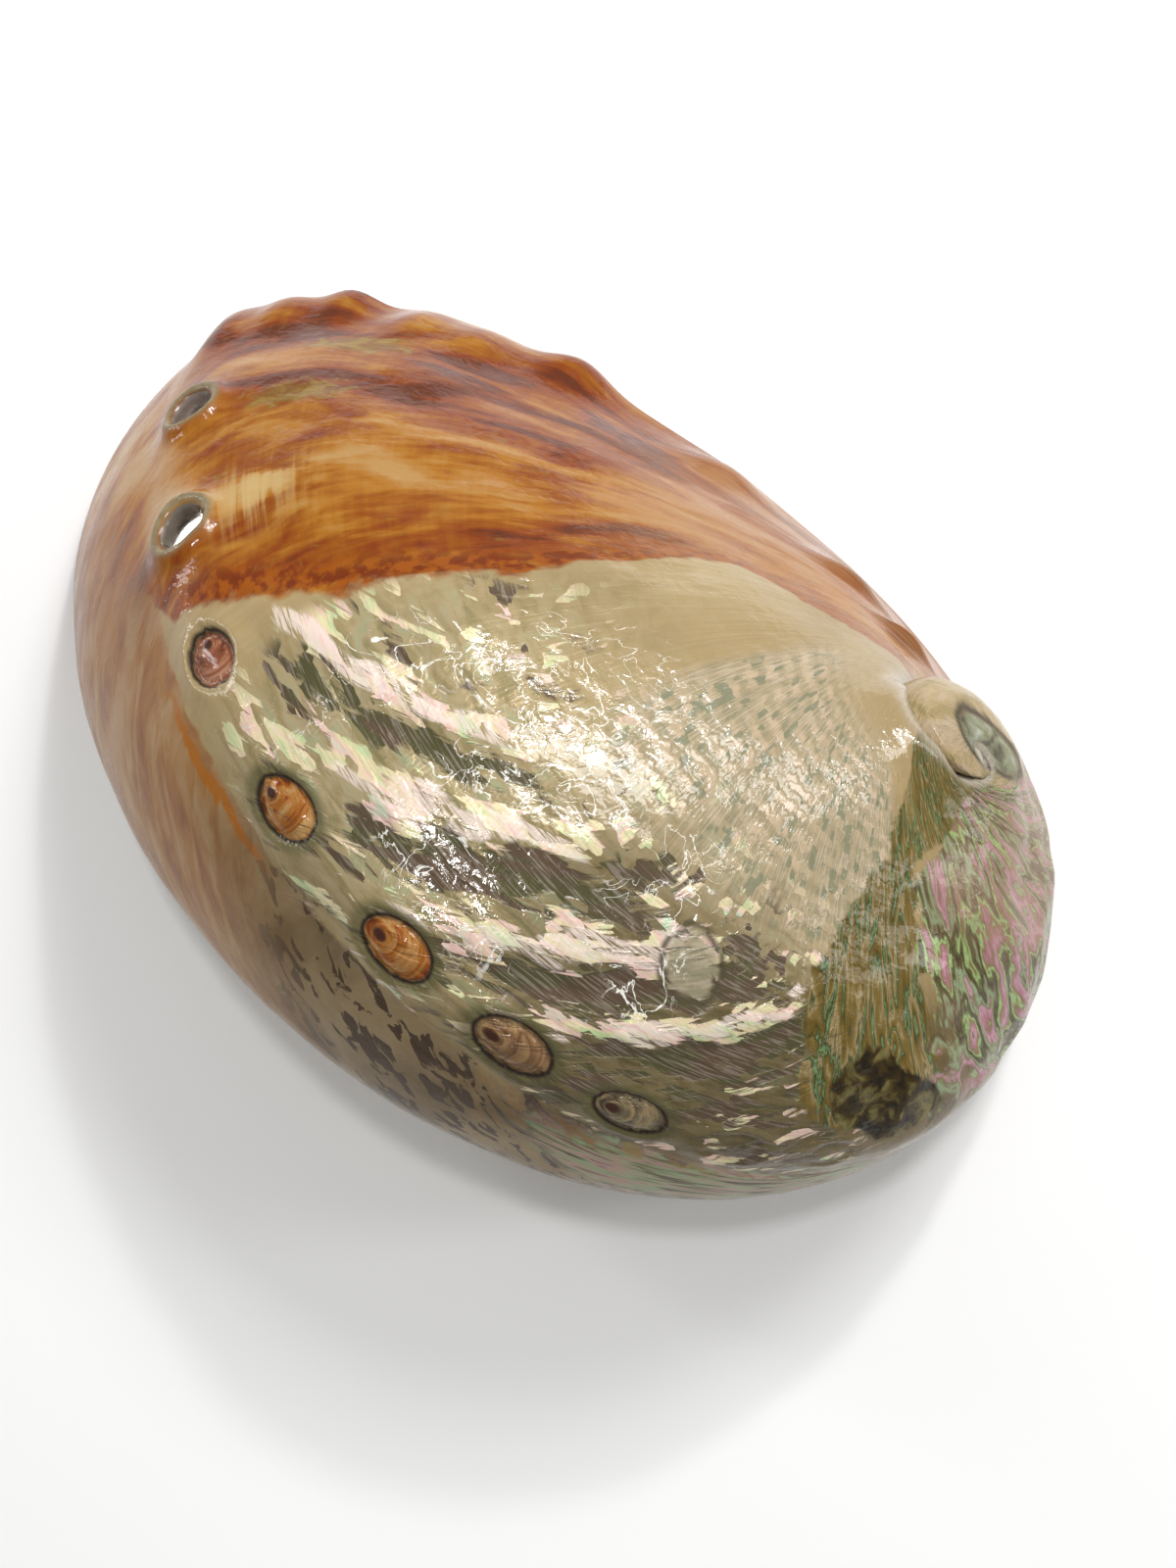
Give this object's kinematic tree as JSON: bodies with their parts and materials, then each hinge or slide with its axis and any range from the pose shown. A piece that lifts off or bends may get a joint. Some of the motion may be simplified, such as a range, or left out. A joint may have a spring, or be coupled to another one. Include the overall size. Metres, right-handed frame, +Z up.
{
  "type": "abalone shell",
  "caption": "Polished sea shell, ear-shaped and hollow beneath, with a row of breathing holes and a low coiled spire at one end.",
  "frame": {"origin": "on the surface the shell lies on, under the middle of its bounding box", "axes": "+X along the shell's length towards the spire, +Y towards the outer margin, +Z up, from the mouth to the back"},
  "size_m": [0.1546, 0.1146, 0.0465],
  "materials": {
    "shell": "polished natural shell and mother-of-pearl"
  },
  "bodies": {
    "root": {"shell": "shell"}
  },
  "joints": []
}
